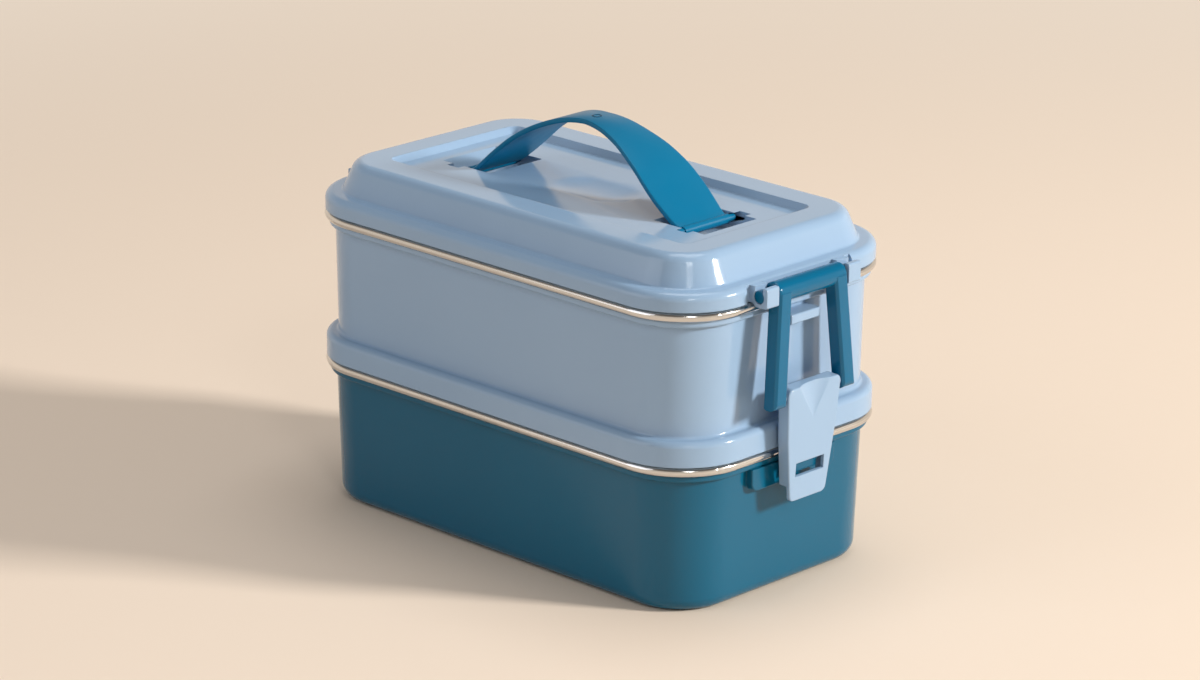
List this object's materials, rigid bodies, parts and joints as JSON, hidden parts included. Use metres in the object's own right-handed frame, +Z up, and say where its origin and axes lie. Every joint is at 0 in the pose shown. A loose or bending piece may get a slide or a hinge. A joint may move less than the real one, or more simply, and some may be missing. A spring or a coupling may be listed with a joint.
{
  "type": "two-tier lunch box",
  "caption": "Two-tier lunch box: steel-lined moulded tiers stacked under a domed lid with a flexible carrying strap, held by a swinging bail and clasp at each end.",
  "frame": {"origin": "on the table under the middle of the box", "axes": "+X along the long side towards one latch, +Z up"},
  "size_m": [0.2276, 0.123, 0.164],
  "materials": {
    "pp_light_blue": "gloss moulded polypropylene",
    "pp_dark_teal": "gloss moulded polypropylene",
    "stainless": "polished drawn stainless steel",
    "strap_teal": "satin moulded plastic",
    "silicone": "soft translucent silicone",
    "pp_inner": "satin moulded polypropylene"
  },
  "bodies": {
    "lower_box": {"lower_shell": "pp_dark_teal", "lower_liner": "stainless"},
    "upper_box": {"upper_shell": "pp_light_blue", "upper_liner": "stainless", "tier_gasket": "silicone"},
    "lid": {"lid_shell": "pp_light_blue", "lid_inner_panel": "pp_inner", "lid_gasket": "silicone"},
    "handle": {"handle_strap": "strap_teal"},
    "right_latch_frame": {"right_latch_frame": "strap_teal"},
    "left_latch_frame": {"left_latch_frame": "strap_teal"},
    "right_latch_clasp": {"right_latch_clasp": "pp_light_blue"},
    "left_latch_clasp": {"left_latch_clasp": "pp_light_blue"}
  },
  "joints": [
    {"name": "tier_lift", "type": "slide", "parent": "lower_box", "child": "upper_box", "axis": [0, 0, 1], "range_m": [0, 0.07]},
    {"name": "lid_lift", "type": "slide", "parent": "upper_box", "child": "lid", "axis": [0, 0, 1], "range_m": [0, 0.05]},
    {"name": "handle_press", "type": "slide", "parent": "lid", "child": "handle", "axis": [0, 0, 1], "range_m": [-0.018, 0], "stiffness_N_per_m": 60, "deforming": ["handle_strap"]},
    {"name": "right_frame_hinge", "type": "hinge", "parent": "lid", "child": "right_latch_frame", "pos_m": [0.1077, 0, 0.1217], "axis": [0, -1, 0], "range_deg": [0, 150]},
    {"name": "right_clasp_hinge", "type": "hinge", "parent": "right_latch_frame", "child": "right_latch_clasp", "pos_m": [0.11049, 0, 0.08128], "axis": [0, -1, 0], "range_deg": [-3.5, 100]},
    {"name": "left_frame_hinge", "type": "hinge", "parent": "lid", "child": "left_latch_frame", "pos_m": [-0.1077, 0, 0.1217], "axis": [0, 1, 0], "range_deg": [0, 150]},
    {"name": "left_clasp_hinge", "type": "hinge", "parent": "left_latch_frame", "child": "left_latch_clasp", "pos_m": [-0.11049, 0, 0.08128], "axis": [0, 1, 0], "range_deg": [-3.5, 100]}
  ]
}
